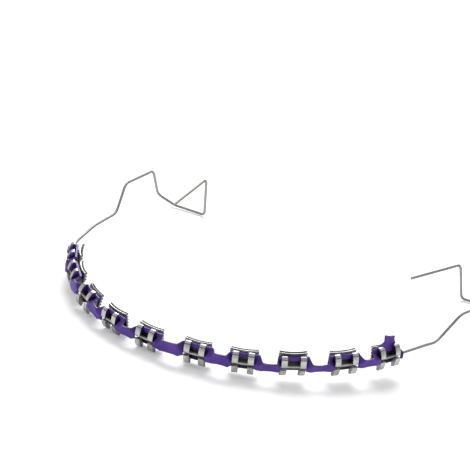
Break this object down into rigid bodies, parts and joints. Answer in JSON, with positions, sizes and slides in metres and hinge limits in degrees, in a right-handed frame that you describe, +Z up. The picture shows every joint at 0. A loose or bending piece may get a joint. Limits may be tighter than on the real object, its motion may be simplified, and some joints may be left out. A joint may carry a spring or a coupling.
{
  "type": "orthodontic brace arch",
  "caption": "Removable dental brace arch: curved steel archwire with end clasps, twin-wing brackets along its front and an elastic power chain over them.",
  "frame": {"origin": "middle of the arch's box, on the plane it rests on", "axes": "+X to the wearer's left end of the arch, +Y from the front brackets back to the clasps, +Z up as it lies on a table"},
  "size_m": [0.0532, 0.0454, 0.007],
  "materials": {
    "cast_steel": "bright tumbled casting",
    "drawn_steel": "satin drawn wire",
    "purple_elastomer": "satin moulded elastomer"
  },
  "bodies": {
    "root": {"archwire": "drawn_steel", "bracket_01": "cast_steel", "bracket_02": "cast_steel", "bracket_03": "cast_steel", "bracket_04": "cast_steel", "bracket_05": "cast_steel", "bracket_06": "cast_steel", "bracket_07": "cast_steel", "bracket_08": "cast_steel", "bracket_09": "cast_steel", "bracket_10": "cast_steel", "power_chain": "purple_elastomer"}
  },
  "joints": []
}
